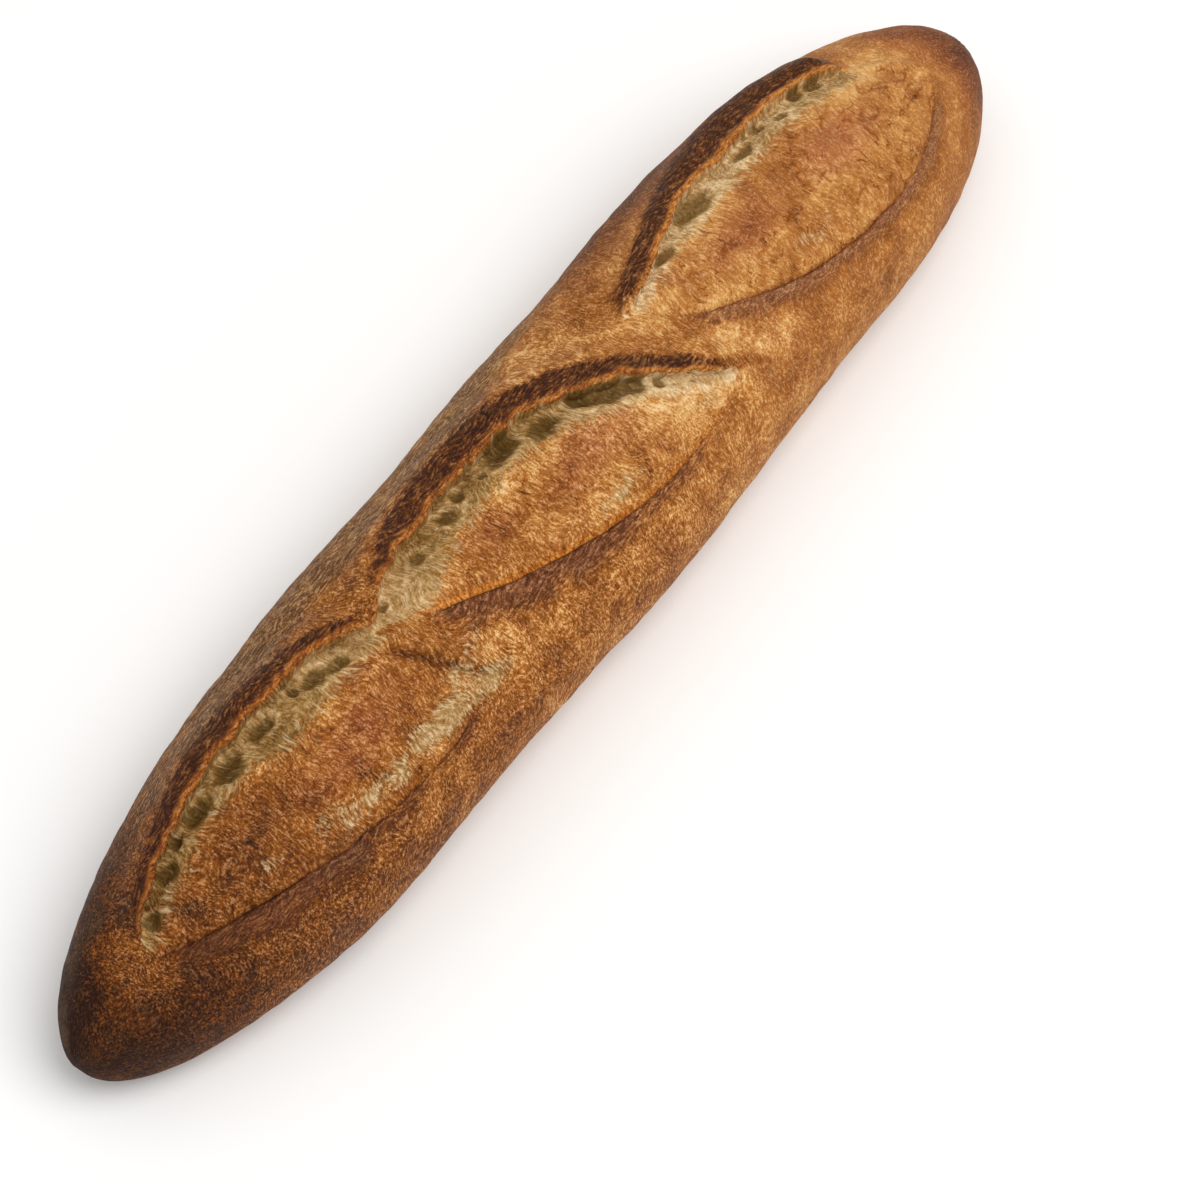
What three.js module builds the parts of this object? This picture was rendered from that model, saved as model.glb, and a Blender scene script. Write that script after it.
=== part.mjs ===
// A baguette: one whole loaf of bread, a single solid, in millimetres.
// It lies on its flat baked base with +Z up. +X runs along it to the paler, smoother end, and the
// origin is on the surface that it lies on, under the middle of the loaf.
// A place on the skin is given by its station along X and its angle round the loaf in degrees:
// 0 on the ridge, positive down the -Y flank and negative down the +Y flank.
import * as THREE from 'three';
import { mergeVertices } from 'three/addons/utils/BufferGeometryUtils.js';

// The plain loaf
const LENGTH = 368;
const HALF_WIDTH = 35.7;
const HEIGHT = 52;
const TIP_HEIGHT = 15; // the tips are clear of the surface, with their noses at this height
const DARK_END_TAPER = 121; // length over which the -X end narrows
const PALE_END_TAPER = 107; // length over which the +X end narrows
const DARK_END_ROUND = 1.95; // 1 is a cone, 2 an ellipse and more is blunter
const PALE_END_ROUND = 2.2;
const BASE_LIFT = 26; // length over which the base lifts at each tip
const NOSE_FULLNESS = 0.9; // under 1, so that the height keeps up with the width at the tips
const WAIST = 0.46; // height of the widest line, as a share of the loaf's height
const FLANK_FULLNESS = 0.95; // 1 is an ellipse, less is fuller
const BASE_SHARE = 1.18; // over 1, so that the lower half is cut off flat
const BASE_CORNER = 0.85; // under 1, for a rounder corner between flank and base
const BOW = [0.4, 1, 0.6, -2.6, -0.4]; // sideways place of the middle line, in powers of the station
const SKIN_PER_DEGREE = 0.62; // millimetres of skin round the loaf for one degree near the ridge

// Unevenness left by the hand that shaped the dough: slow swellings along the -Y flank, the +Y flank
// and the ridge, each highest at the station peak and every wave from there
const HAND_MARKS = [
  { angle: 100, height: 1.3, wave: 140, peak: -125 },
  { angle: -80, height: 0.3, wave: 73, peak: -128 },
  { angle: 10, height: 0.5, wave: 58, peak: 10 },
];
const FLANK_ANGLE = 107; // they fade out from here
const BASE_ANGLE = 143; // to here, where the flat base starts

// The three slashes. Each opened as a lens between two tips, with the raised ear on its +Y side and
// the seam where the risen crumb meets the skin again on its -Y side. near and far are the tips.
// ear and seam are how far that edge bows out, where along the lens, and how sharply.
// Pockets are the large holes in the open crumb below the ear: station and length.
const SLASHES = [
  {
    near: { station: -160, angle: 2 },
    far: { station: -52, angle: 23 },
    ear: { bow: 50.4, peak: 0.58, sharp: 1.1 },
    seam: { bow: 35.3, peak: 0.62, sharp: 0.7 },
    earHeight: 3.2,
    pockets: [[-132, 5], [-122, 9], [-110.5, 10], [-98, 8], [-76, 14]],
  },
  {
    near: { station: -65, angle: -1 },
    far: { station: 58.5, angle: 43 },
    ear: { bow: 54.7, peak: 0.51, sharp: 2 },
    seam: { bow: 21.6, peak: 0.57, sharp: 2.6 },
    earHeight: 4,
    pockets: [[-38, 6], [-25, 6], [0, 14], [11, 9], [27, 13]],
  },
  {
    near: { station: 41, angle: -17 },
    far: { station: 161.5, angle: 0 },
    ear: { bow: 41.7, peak: 0.66, sharp: 2.3 },
    seam: { bow: 53.6, peak: 0.61, sharp: 1.2 },
    earHeight: 3.4,
    pockets: [[64, 7], [84, 15], [105, 9], [119, 8], [134, 7]],
  },
];

// The profile across a slash, from the ear to the seam
const TIP_FADE = 12; // the relief comes up over this length at each tip
const OPEN_FADE = 14; // and up to this width of the lens
const CREST_OFFSET = 2.5; // the crest stands this far inside the middle of the burnt band
const EAR_FOOT = 14; // the ear's outer slope
const EAR_FACE = 3; // the ear's steep inner face
const EAR_LEAN = 1.4; // how far the crest leans over the crumb
const CRUMB_DEPTH = 3;
const CRUMB_WIDTH = 11; // open crumb between the ear and the browned petal
const CRUMB_SHARE = 0.5; // but no more than this share of a narrow lens
const POCKET_DEPTH = 2.6;
const POCKET_WIDTH = 7;
const PETAL_BULGE = 1.2; // the browned crumb between, which rose above the skin
const SEAM_DEPTH = 1.2;
const SEAM_WIDTH = 4.4;
const LIP_HEIGHT = 1.3; // the burnt edge of skin beyond the seam
const LIP_WIDTH = 11;

// The two bridges of whole skin between the slashes
const BRIDGES = [-57, 53];
const BRIDGE_LENGTH = 22;

// How finely the skin is divided, and which of its columns run along the slashes
const COLUMNS = 54; // round the loaf
const STATIONS = 108; // along it
const RIDGE_CROWDING = 0.45; // columns crowd to the slashed ridge
const TIP_CROWDING = 0.15; // stations crowd to the tips
const CREST_COLUMN = -7; // counted from the ridge
const SEAM_COLUMN = 9;
const LEAST_OPENING = 26; // degrees kept between those two columns where the slashes close

const { clamp, degToRad, lerp, radToDeg, smoothstep } = THREE.MathUtils;

// Share of the full width and height at a station
function taper(x) {
  const nearShare = clamp((x + LENGTH / 2) / DARK_END_TAPER, 0, 1);
  const farShare = clamp((LENGTH / 2 - x) / PALE_END_TAPER, 0, 1);
  const near = 1 - (1 - nearShare) ** DARK_END_ROUND;
  const far = 1 - (1 - farShare) ** PALE_END_ROUND;
  return Math.sqrt(near * far);
}

// The plain loaf before it was slashed
function plainSkin(x, angle) {
  const share = taper(x);
  const u = x / (LENGTH / 2);
  const middle = BOW.reduce((sum, size, power) => sum + size * u ** power, 0);
  const top = lerp(TIP_HEIGHT, HEIGHT, share ** NOSE_FULLNESS);
  const lift = clamp((LENGTH / 2 - Math.abs(x)) / BASE_LIFT, 0, 1);
  const base = TIP_HEIGHT * (1 - Math.sqrt(1 - (1 - lift) ** 2));
  const waist = lerp(base, top, WAIST);
  const across = Math.sin(degToRad(angle));
  const up = Math.cos(degToRad(angle));
  const y = middle - HALF_WIDTH * share * Math.sign(across) * Math.abs(across) ** FLANK_FULLNESS;
  const z = up > 0
    ? waist + (top - waist) * up ** FLANK_FULLNESS
    : Math.max(base, waist - BASE_SHARE * (waist - base) * (-up) ** BASE_CORNER);
  return new THREE.Vector3(x, y, z);
}

// A hump from 0 to 1 and back over the lens, highest at its peak
function hump(share, { peak, sharp }) {
  const rise = (share / peak) ** peak;
  const fall = ((1 - share) / (1 - peak)) ** (1 - peak);
  return (rise * fall) ** sharp;
}

// The angle of a slash's ear (side -1) or seam (side 1) at a station
function edgeAngle({ near, far }, edge, side, x) {
  const share = clamp((x - near.station) / (far.station - near.station), 0.001, 0.999);
  return lerp(near.angle, far.angle, share) + side * edge.bow * hump(share, edge);
}

// Distance over the skin from such an edge, square to it, in millimetres
function fromEdge(slash, edge, side, x, angle) {
  const before = edgeAngle(slash, edge, side, x - 1);
  const after = edgeAngle(slash, edge, side, x + 1);
  const slope = ((after - before) / 2) * SKIN_PER_DEGREE;
  return ((angle - edgeAngle(slash, edge, side, x)) * SKIN_PER_DEGREE) / Math.hypot(1, slope);
}

// What a slash adds at a place: out from the skin, and lean over the skin towards the seam
function slashRelief(slash, x, angle) {
  const { near, far } = slash;
  const past = fromEdge(slash, slash.ear, -1, x, angle) - CREST_OFFSET;
  const beyond = fromEdge(slash, slash.seam, 1, x, angle);
  const open = past - beyond;
  const ends = smoothstep(x, near.station, near.station + TIP_FADE)
    * (1 - smoothstep(x, far.station - TIP_FADE, far.station));
  const strength = ends * smoothstep(open, 0, OPEN_FADE);
  if (strength === 0) return { out: 0, lean: 0 };

  const outer = smoothstep(past, -EAR_FOOT, 0) ** 2;
  const inner = 1 - smoothstep(past, 0, EAR_FACE);
  const ear = past < 0 ? outer : inner;
  const petalEdge = EAR_FACE + Math.min(CRUMB_WIDTH, open * CRUMB_SHARE);
  const intoPetal = smoothstep(past, EAR_FACE, petalEdge);
  const inCrumb = smoothstep(past, 0, EAR_FACE) * (1 - intoPetal);
  const inPetal = intoPetal * smoothstep(-beyond, 0, SEAM_WIDTH);
  const seam = Math.exp(-((beyond / (SEAM_WIDTH / 2)) ** 2));
  const lip = smoothstep(beyond, 0, SEAM_WIDTH / 2) * (1 - smoothstep(beyond, SEAM_WIDTH / 2, LIP_WIDTH));
  const holes = slash.pockets.map(([station, length]) => {
    const along = (x - station) / (length / 2);
    const across = (past - EAR_FACE - POCKET_WIDTH / 2) / (POCKET_WIDTH / 2);
    return Math.exp(-(along ** 2) - across ** 2);
  });
  const pocket = Math.max(...holes);

  const out = slash.earHeight * ear - CRUMB_DEPTH * inCrumb - POCKET_DEPTH * pocket * (inCrumb + inPetal)
    + PETAL_BULGE * inPetal - SEAM_DEPTH * seam + LIP_HEIGHT * lip;
  return { out: out * strength, lean: EAR_LEAN * ear * strength };
}

// The slow swellings of a hand-shaped loaf, gone on its base
function handMarks(x, angle) {
  const above = smoothstep(-Math.abs(angle), -BASE_ANGLE, -FLANK_ANGLE);
  const swellings = HAND_MARKS.map((mark) => {
    const along = Math.cos((2 * Math.PI * (x - mark.peak)) / mark.wave);
    const round = 0.5 + 0.5 * Math.cos(degToRad(angle - mark.angle));
    return mark.height * along * round ** 2;
  });
  return above * taper(x) * swellings.reduce((sum, swelling) => sum + swelling, 0);
}

// The finished skin at a place
function loafSkin(x, angle) {
  const inside = clamp(x, -LENGTH / 2 + 1, LENGTH / 2 - 1);
  const along = plainSkin(inside + 0.5, angle).sub(plainSkin(inside - 0.5, angle));
  const round = plainSkin(inside, angle + 0.5).sub(plainSkin(inside, angle - 0.5));
  const outward = new THREE.Vector3().crossVectors(round, along).normalize();
  const reliefs = SLASHES.map((slash) => slashRelief(slash, x, angle));
  const out = reliefs.reduce((sum, relief) => sum + relief.out, handMarks(x, angle));
  const lean = reliefs.reduce((sum, relief) => sum + relief.lean, 0);
  const place = plainSkin(x, angle);
  place.addScaledVector(outward, out);
  place.addScaledVector(round.normalize(), lean);
  place.z = Math.max(place.z, 0);
  return place;
}

// The angle of an evenly spaced column before it follows the slashes
function plainColumn(turn) {
  return radToDeg(turn - RIDGE_CROWDING * Math.sin(turn));
}

// The angles of the crest and the seam at a station, passing from slash to slash over the bridges
function slashEdges(x) {
  const lenses = SLASHES.map((slash) => ({
    crest: edgeAngle(slash, slash.ear, -1, x) + CREST_OFFSET / SKIN_PER_DEGREE,
    seam: edgeAngle(slash, slash.seam, 1, x),
  }));
  const passed = BRIDGES.map((at) => smoothstep(x, at - BRIDGE_LENGTH / 2, at + BRIDGE_LENGTH / 2));
  const follow = (edge) => passed.reduce(
    (angle, share, i) => lerp(angle, lenses[i + 1][edge], share),
    lenses[0][edge],
  );
  const middle = (follow('crest') + follow('seam')) / 2;
  const half = Math.max((follow('seam') - follow('crest')) / 2, LEAST_OPENING / 2);
  return { crest: middle - half, seam: middle + half };
}

// The angle of a column at a station: one column lies on the crest of the ear and one in the seam
function columnAngle(turn, x) {
  const step = (2 * Math.PI) / COLUMNS;
  const { crest, seam } = slashEdges(x);
  const from = [-180, plainColumn(CREST_COLUMN * step), plainColumn(SEAM_COLUMN * step), 180];
  const to = [-180, crest, seam, 180];
  const angle = plainColumn(turn);
  const part = angle < from[1] ? 0 : angle < from[2] ? 1 : 2;
  return lerp(to[part], to[part + 1], (angle - from[part]) / (from[part + 1] - from[part]));
}

// Folds each four-sided cell of the skin along its shorter diagonal, which keeps the ridges sharp.
// The cells that meet at the two tips are single triangles.
function foldCells({ index, attributes: { position } }) {
  const [a, b, c, d] = [0, 1, 2, 3].map(() => new THREE.Vector3());
  for (let i = 3 * COLUMNS; i < index.count - 3 * COLUMNS; i += 6) {
    a.fromBufferAttribute(position, index.getX(i));
    b.fromBufferAttribute(position, index.getX(i + 1));
    c.fromBufferAttribute(position, index.getX(i + 4));
    d.fromBufferAttribute(position, index.getX(i + 5));
    if (a.distanceTo(c) < b.distanceTo(d)) {
      index.setX(i + 2, index.getX(i + 4));
      index.setX(i + 3, index.getX(i));
    }
  }
}

// The skin starts as a globe with its poles at the two tips, whose points are then moved out
function loafGeometry() {
  const globe = new THREE.SphereGeometry(1, COLUMNS, STATIONS);
  globe.deleteAttribute('normal');
  globe.deleteAttribute('uv');
  const geometry = mergeVertices(globe);
  const points = geometry.attributes.position;
  const point = new THREE.Vector3();
  for (let i = 0; i < points.count; i += 1) {
    point.fromBufferAttribute(points, i);
    const share = Math.acos(clamp(-point.y, -1, 1)) / Math.PI;
    const even = 2 * share - 1;
    const crowded = -Math.cos(Math.PI * share);
    const station = (LENGTH / 2) * lerp(even, crowded, TIP_CROWDING);
    const turn = Math.atan2(point.x, point.z);
    const place = loafSkin(station, columnAngle(turn, station));
    points.setXYZ(i, place.x, place.y, place.z);
  }
  foldCells(geometry);
  geometry.computeVertexNormals();
  return geometry;
}

const crust = new THREE.MeshStandardMaterial({ color: 0xb5762f, roughness: 0.72, metalness: 0 });
const loaf = new THREE.Mesh(loafGeometry(), crust);
loaf.name = 'loaf';

const baguette = new THREE.Group();
baguette.add(loaf);

export default baguette;
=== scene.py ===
import math

import bpy
import numpy as np
from mathutils import Matrix, Vector, noise


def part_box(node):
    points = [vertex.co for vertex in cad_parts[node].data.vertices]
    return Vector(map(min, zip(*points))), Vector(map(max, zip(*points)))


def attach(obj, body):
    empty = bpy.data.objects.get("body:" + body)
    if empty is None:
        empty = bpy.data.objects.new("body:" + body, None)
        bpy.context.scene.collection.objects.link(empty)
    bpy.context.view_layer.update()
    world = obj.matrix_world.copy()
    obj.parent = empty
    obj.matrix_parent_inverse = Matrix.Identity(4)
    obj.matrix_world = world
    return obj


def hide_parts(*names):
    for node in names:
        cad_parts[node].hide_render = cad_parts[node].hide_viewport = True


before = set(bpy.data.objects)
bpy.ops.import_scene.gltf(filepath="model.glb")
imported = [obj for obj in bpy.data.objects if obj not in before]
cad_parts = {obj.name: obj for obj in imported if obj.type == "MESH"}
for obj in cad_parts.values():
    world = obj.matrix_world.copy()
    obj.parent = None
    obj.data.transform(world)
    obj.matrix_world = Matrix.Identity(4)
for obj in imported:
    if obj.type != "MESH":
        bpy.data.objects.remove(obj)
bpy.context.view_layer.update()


# The shaped loaf
# A baguette is one length of lean wheat dough, rolled under the hands so that it tapers to both ends and
# then proved on its seam. On the tray it settled on a flat base. Everything below is in millimetres; a
# place on the skin is its station along X and its angle: 0 on the ridge, positive down the -Y flank.
MM = 0.001
low_corner, high_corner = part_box("loaf")
LENGTH = (high_corner.x - low_corner.x) / MM
HALF_WIDTH = 35.7
HEIGHT = 52
TIP_HEIGHT = 15
DARK_END_TAPER = 121
PALE_END_TAPER = 107
DARK_END_ROUND = 1.95
PALE_END_ROUND = 2.2
BASE_LIFT = 26  # each tip curves up off the tray over this length
NOSE_FULLNESS = 0.9
WAIST = 0.46  # where the flanks are widest, as a share of the height
FLANK_FULLNESS = 0.95
BASE_SHARE = 1.18  # the curve of the flanks would end this far down, and the base cuts it off
BASE_CORNER = 0.85
BOW = (0.4, 1, 0.6, -2.6, -0.4)  # the middle line's wander: factors of the powers of the share along
SKIN_PER_DEGREE = 0.62  # millimetres over the skin


def lerp(start, end, share):
    return start + (end - start) * share


def smooth(value, low, high):
    share = np.clip((value - low) / (high - low), 0, 1)
    return share * share * (3 - 2 * share)


def read_off(table, x, column=1):
    """What that column of a table of stations gives at each place."""
    rows = np.array(table, float)
    return np.interp(x, rows[:, 0], rows[:, column])


def taper(x):
    near = 1 - (1 - np.clip((x + LENGTH / 2) / DARK_END_TAPER, 0, 1)) ** DARK_END_ROUND
    far = 1 - (1 - np.clip((LENGTH / 2 - x) / PALE_END_TAPER, 0, 1)) ** PALE_END_ROUND
    return np.sqrt(near * far)


def plain_skin(x, angle):
    share = taper(x)
    along = x / (LENGTH / 2)
    middle = sum(size * along ** power for power, size in enumerate(BOW))
    top = lerp(TIP_HEIGHT, HEIGHT, share ** NOSE_FULLNESS)
    lift = np.clip((LENGTH / 2 - np.abs(x)) / BASE_LIFT, 0, 1)
    base = TIP_HEIGHT * (1 - np.sqrt(1 - (1 - lift) ** 2))
    waist = lerp(base, top, WAIST)
    across = np.sin(np.radians(angle))
    up = np.cos(np.radians(angle))
    y = middle - HALF_WIDTH * share * np.sign(across) * np.abs(across) ** FLANK_FULLNESS
    over = waist + (top - waist) * np.clip(up, 0, 1) ** FLANK_FULLNESS
    under = waist - BASE_SHARE * (waist - base) * np.clip(-up, 0, 1) ** BASE_CORNER
    z = np.where(up > 0, over, np.maximum(base, under))
    return np.stack([x + 0 * y, y, z], axis=1)


def lumps(points, size, seed):
    """Soft lumps of that size in millimetres, from about -1 to 1, the same in each run.

    Each seed reads another part of the same noise.
    """
    spots = points / np.asarray(size, float) + 17.3 * seed
    if spots.shape[1] == 2:
        spots = np.column_stack([spots, np.full(len(spots), 3.7 * seed)])
    return 1.6 * np.array([noise.noise(spot) for spot in spots])


# The hands left slow swellings along both flanks and the ridge.
HAND_MARKS = (
    {"angle": 100, "height": 1.3, "wave": 140, "peak": -125},
    {"angle": -80, "height": 0.3, "wave": 73, "peak": -128},
    {"angle": 10, "height": 0.5, "wave": 58, "peak": 10},
)
FLANK_ANGLE = 107  # from here down all unevenness fades out, and it ends at the base
BASE_ANGLE = 143


def hand_marks(x, angle):
    total = 0
    for mark in HAND_MARKS:
        along = np.cos(2 * np.pi * (x - mark["peak"]) / mark["wave"])
        around = 0.5 + 0.5 * np.cos(np.radians(angle - mark["angle"]))
        total = total + mark["height"] * along * around ** 2
    return taper(x) * total


# The three slashes
# Just before baking a blade lifts three flaps of skin, each cut overlapping the next. In the oven each cut
# opens as a lens: the flap curls into a raised burnt ear on the +Y side, the crumb tears below it, and the
# risen dough browns as a petal that meets the old skin again at the seam on the -Y side.

# near and far are the tips (station, angle). ear and seam bow out to each side of the line between them, by
# bow in degrees. torn_to is the station where the tear ends, and hem is how orange the petal's edge is.
# lip is how far the ear reaches past its line, and how wide its thin orange edge is (station, degrees,
# millimetres). petal is where the open crumb ends (station, degrees). ear_burn is how dark the ear is, from
# burn_from millimetres past its line (station, share), seam_burn is how wide and dark the burnt skin beyond
# the seam is (station, millimetres, share), and seam_line is how dark the shade painted in the seam's groove
# is (station, share).
SLASHES = (
    {
        "near": (-160, 2), "far": (-52, 23), "ear_height": 3.2,
        "torn_to": -62, "burn_from": -0.4, "hem": 0.4,
        "ear": {"bow": 50.4, "peak": 0.58, "sharp": 1.1},
        "seam": {"bow": 35.3, "peak": 0.62, "sharp": 0.7},
        "lip": ((-158, 5, 1.2), (-150, 8, 1.5), (-115, 14, 1.8), (-92, 13, 1.8), (-75, 8.5, 1.8),
                (-60, 4, 1.4)),
        "petal": ((-158, 11), (-150, 1.5), (-133, -5.5), (-113, -8), (-100, 0), (-77, -1.5), (-60, 1.5)),
        "ear_burn": ((-163, 0), (-152, 0.8), (-135, 1), (-80, 1), (-68, 0.9), (-60, 0.3), (-55, 0)),
        "seam_burn": ((-162, 6, 0), (-150, 11, 0.9), (-132, 13, 1), (-112, 11, 0.75), (-95, 7, 0.6),
                      (-68, 5, 0.55), (-55, 4, 0)),
        "seam_line": ((-155, 0.3), (-140, 1), (-100, 1), (-60, 0.5)),
    },
    {
        "near": (-68, -4), "far": (58.5, 43), "ear_height": 4,
        "torn_to": 58, "burn_from": 0.6, "hem": 0.9,
        "ear": {"bow": 54.7, "peak": 0.51, "sharp": 2},
        "seam": {"bow": 21.6, "peak": 0.57, "sharp": 2.6},
        "lip": ((-62, 4, 1.2), (-50, 8, 1.4), (-30, 16, 1.5), (-10, 17.5, 1.5), (0, 15.5, 1.3),
                (20, 14.5, 1.3), (30, 11, 1.2), (40, 11.5, 1), (52, 7.5, 0.8)),
        "petal": ((-64, 2), (-50, 6), (-40, 0), (-30, -4), (-10, -5), (0, -2), (10, 1.5), (20, 9.4),
                  (30, 18.8), (40, 29.7), (50, 40.6), (58, 46)),
        "ear_burn": ((-66, 0), (-56, 0.7), (-45, 1), (35, 1), (46, 0.9), (54, 0.4), (60, 0)),
        "seam_burn": ((-57, 9, 0), (-46, 12, 0.9), (-25, 12, 1), (-8, 11, 1), (5, 8, 0.9), (30, 7, 0.6),
                      (52, 5, 0)),
        "seam_line": ((-55, 0.2), (-45, 1), (0, 1), (15, 0.5), (40, 0.2)),
    },
    {
        "near": (41, -17), "far": (161.5, 0), "ear_height": 3.4,
        "torn_to": 145, "burn_from": -1, "hem": 0.25,
        "ear": {"bow": 41.7, "peak": 0.66, "sharp": 2.3},
        "seam": {"bow": 53.6, "peak": 0.61, "sharp": 1.2},
        "lip": ((48, 8, 1), (60, 9.5, 1.2), (80, 12, 1.6), (90, 15.5, 1.8), (102, 21, 2), (120, 21, 2),
                (140, 17, 2), (150, 12, 1.5)),
        "petal": ((46, -9), (52, -6.5), (60, -9.4), (100, -11), (120, -11), (140, -6), (150, -4)),
        "ear_burn": ((42, 0.2), (50, 0.75), (75, 0.95), (100, 1), (130, 0.9), (143, 0.85), (146, 0)),
        "seam_burn": ((50, 6, 0), (60, 8, 0.9), (90, 7, 0.9), (120, 8, 0.8), (150, 9, 0.7), (164, 9, 0)),
        "seam_line": ((60, 0.1), (78, 1), (112, 1), (122, 0.1)),
    },
)
# The large holes close under the ears. Each pocket is station, angle, half length and half width.
POCKETS = (
    (-152, -2, 3, 3), (-140.5, -11, 3.7, 4), (-133.5, -17, 2, 2.4), (-124.7, -16.5, 5, 4.4),
    (-112.2, -16, 5.2, 4.4), (-99.7, -17, 4.7, 3), (-87, -16, 1.6, 2), (-81.5, -12.5, 4, 3.4),
    (-75.5, -7.5, 3.6, 2.8),
    (-56.3, -9, 1.7, 1.6), (-40.5, -11, 2.8, 2.9), (-26.3, -13.5, 3.3, 3.2), (-19.7, -16, 2, 2.4),
    (-12.2, -13.5, 1.4, 2), (-3.5, -14.5, 6.2, 4.2), (7, -6, 5.2, 4), (20, -3, 4.4, 4.2),
    (26, 3.5, 4.8, 4.6), (31, 10, 3.4, 3.2), (36, 17, 2.2, 1.8),
    (48, -12.5, 2, 1.5), (66.3, -13.5, 4, 2.7), (83.8, -20, 7.5, 4.5), (105.5, -20, 4.2, 3),
    (114.7, -24, 2.5, 1.7), (120.5, -19, 2, 2.2), (129.7, -25, 2.5, 2.8), (135.4, -22, 2.6, 2.8),
)
EAR_FOOT = 13  # the ear starts to rise from the old skin this far before its line
EAR_LEAN = 1.9  # how far the ear curls over the crumb
LIP_DROP = 0.7  # the crest has sunk to this share of its height at the torn lip
LIP_UNDERCUT = 0.8  # how far the crumb starts back under the lip
CRUMB_DEPTH = 1.7
PETAL_BULGE = 1.2
SEAM_DEPTH = 0.4
SEAM_WIDTH = 0.8
FOLD_HEIGHT = 0.5  # the edge of old skin that stands beyond the seam
FOLD_WIDTH = 10
FOLD_LEAN = 0.6  # how far that edge hangs over the petal
ARCH_HEIGHT = 0.9  # how far the torn lip arches over a pocket
ARCH_REACH = 6  # a pocket this many degrees below the lip arches it most
TIP_FADE = 9  # a slash has its full height this far from its tips
OPEN_FADE = 12  # and where it stands open this far


def hump(share, edge):
    rise = (share / edge["peak"]) ** edge["peak"]
    fall = ((1 - share) / (1 - edge["peak"])) ** (1 - edge["peak"])
    return (rise * fall) ** edge["sharp"]


def tear(x, seed):
    """How far a torn edge wanders from its smooth line, in millimetres."""
    spots = np.column_stack([x, 0 * x])
    return 0.5 * lumps(spots, 9, seed) + 0.28 * lumps(spots, 3.5, seed + 1)


def edge_angle(slash, name, x):
    (near_x, near_angle), (far_x, far_angle) = slash["near"], slash["far"]
    share = np.clip((x - near_x) / (far_x - near_x), 0.001, 0.999)
    side = -1 if name == "ear" else 1
    return lerp(near_angle, far_angle, share) + side * slash[name]["bow"] * hump(share, slash[name])


def lip_angle(slash, x):
    place = edge_angle(slash, "ear", x) + read_off(slash["lip"], x)
    arch = np.zeros(len(x))
    for middle_x, middle, half_length, _ in POCKETS:
        near = np.exp(-((middle - place - ARCH_REACH) / ARCH_REACH) ** 2)
        arch = np.maximum(arch, near * np.exp(-((x - middle_x) / half_length) ** 2))
    return place + (tear(x, 5) - ARCH_HEIGHT * arch) / SKIN_PER_DEGREE


def petal_angle(slash, x):
    return read_off(slash["petal"], x) + 1.6 * tear(x, 9) / SKIN_PER_DEGREE


def past(line, x, angle):
    """Millimetres over the skin past a line, square to it."""
    slope = (line(x + 1) - line(x - 1)) / 2 * SKIN_PER_DEGREE
    return (angle - line(x)) * SKIN_PER_DEGREE / np.hypot(1, slope)


# The open crumb
# Under each ear the dough tore instead of being cut, so its cells are open: a row of large oval pockets
# close under the lip, thin strands pulled over them, and small pores between.
POCKET_DEPTH = 1.9
PORE_RADIUS = 0.42  # as a share of the space between two pores
PORE_DEPTH = 0.4
WALL_HEIGHT = 0.1
STRAND_HEIGHT = 0.3
WRINKLE_DEPTH = 0.3


def pockets(x, angle):
    """How deep each place is inside a large pocket, and how far on the thin wall round it, from 0 to 1."""
    deepest = np.zeros(len(x))
    wall = np.zeros(len(x))
    wander = 0.2 * lumps(np.column_stack([x, angle * SKIN_PER_DEGREE]), 3, 21)
    for station, middle, half_length, half_width in POCKETS:
        along = (x - station) / half_length
        across = (angle - middle) * SKIN_PER_DEGREE / half_width
        reach = np.hypot(along, across * np.where(across > 0, 0.85, 1.1)) + wander
        deepest = np.maximum(deepest, 1 - smooth(reach, 0.1, 1.25))
        wall = np.maximum(wall, np.exp(-((reach - 1.2) / 0.22) ** 2))
    return deepest, wall * (1 - deepest)


def pores(points, size, share, seed):
    """Small round cells, 1 in their middle and 0 outside: that share of the places holds one."""
    spots = np.column_stack([points / size + 11.9 * seed, np.full(len(points), 2.9 * seed)])
    depth = np.zeros(len(spots))
    for i, spot in enumerate(spots):
        (nearest, _, _, _), (middle, _, _, _) = noise.voronoi(spot)
        if noise.noise(middle * 1.7) > 0.9 - 1.8 * share:
            depth[i] = 1 - min(nearest / PORE_RADIUS, 1)
    return smooth(depth, 0, 0.8)


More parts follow.
